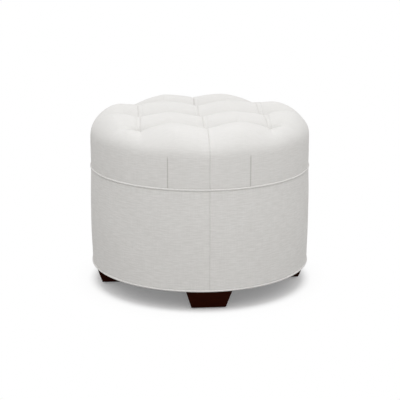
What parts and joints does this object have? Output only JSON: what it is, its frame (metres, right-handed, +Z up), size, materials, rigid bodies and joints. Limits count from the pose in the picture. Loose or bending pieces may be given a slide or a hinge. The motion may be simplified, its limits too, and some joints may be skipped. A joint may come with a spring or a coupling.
{
  "type": "tufted round ottoman",
  "caption": "Round tufted ottoman with a linen-weave cover, piped edges and tapered square block legs.",
  "frame": {"origin": "on the floor, under the middle of the drum", "axes": "+Z up; -Y towards the front seam and the front leg; +X to the right seen from the front"},
  "size_m": [0.565, 0.565, 0.4535],
  "materials": {
    "cloth": "matte linen weave",
    "filler_cord": "matte cotton cord",
    "soft_filling": "matte wadding",
    "firm_foam": "matte foam",
    "card": "matte",
    "hardboard": "matte",
    "twine": "waxed",
    "nylon": "satin",
    "plywood": "sanded",
    "softwood": "planed",
    "leg_wood": "dark stain under satin lacquer",
    "steel": "zinc plated",
    "dust_cloth": "matte nonwoven"
  },
  "bodies": {
    "root": {"band_left": "cloth", "band_right": "cloth", "base_ring": "plywood", "base_screws": "steel", "block_screws": "steel", "bottom_welt": "cloth", "bottom_welt_cord": "filler_cord", "deck": "plywood", "deck_screws": "steel", "dust_cover": "dust_cloth", "dust_cover_staples": "steel", "foam_block": "firm_foam", "hanger_bolts": "steel", "leg_back": "leg_wood", "leg_block_back": "plywood", "leg_block_front": "plywood", "leg_block_left": "plywood", "leg_block_right": "plywood", "leg_front": "leg_wood", "leg_glides": "nylon", "leg_left": "leg_wood", "leg_right": "leg_wood", "middle_welt": "cloth", "middle_welt_cord": "filler_cord", "post_1": "softwood", "post_2": "softwood", "post_3": "softwood", "post_4": "softwood", "post_5": "softwood", "post_6": "softwood", "post_7": "softwood", "post_8": "softwood", "side_padding": "soft_filling", "skin_left": "hardboard", "skin_right": "hardboard", "tack_strip": "card", "tee_nuts": "steel", "top_cover_left": "cloth", "top_cover_right": "cloth", "tuft_twines": "twine", "tuft_washers": "nylon", "tufted_pad": "soft_filling"}
  },
  "joints": []
}
